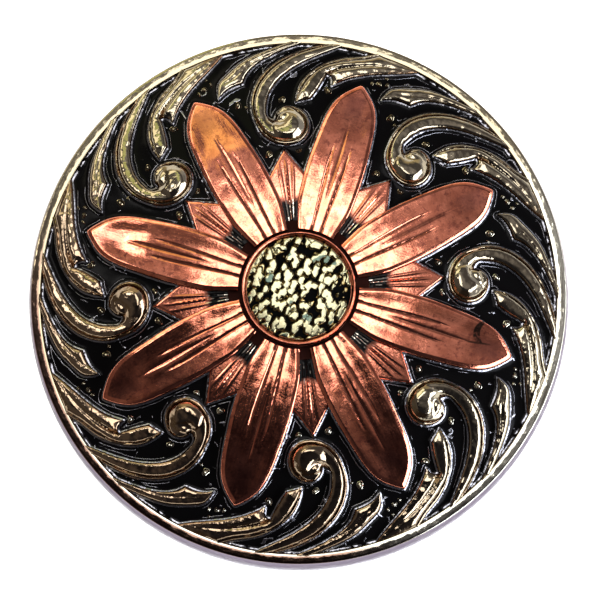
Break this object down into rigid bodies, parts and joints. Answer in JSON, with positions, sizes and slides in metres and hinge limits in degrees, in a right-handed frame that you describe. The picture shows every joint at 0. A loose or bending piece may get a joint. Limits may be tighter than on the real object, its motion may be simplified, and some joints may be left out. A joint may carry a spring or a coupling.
{
  "type": "concho",
  "caption": "Round domed western concho: a raised daisy with a hammered eye on a ground of cast scrollwork, a rolled rim, and a screw post in the hollow back.",
  "frame": {"origin": "middle of the back, on the plane that the rim's foot rests on", "axes": "+Z out of the face, along the screw post; +Y is up in the picture, and one long petal lies 73.3 degrees from +X"},
  "size_m": [0.038, 0.038, 0.0074],
  "materials": {
    "antique_nickel": "polished nickel plate, antiqued, with glossy black paint in the ground",
    "black_paint": "glossy, wrinkled",
    "copper": "polished copper plate, finely brushed along each petal",
    "hammered_nickel": "hammered, black in the hollows",
    "post_brass": "turned"
  },
  "bodies": {
    "root": {"base": "antique_nickel", "small_petals": "copper", "large_petals": "copper", "centre_cup": "copper", "centre_button": "hammered_nickel", "screw_post": "post_brass"}
  },
  "joints": []
}
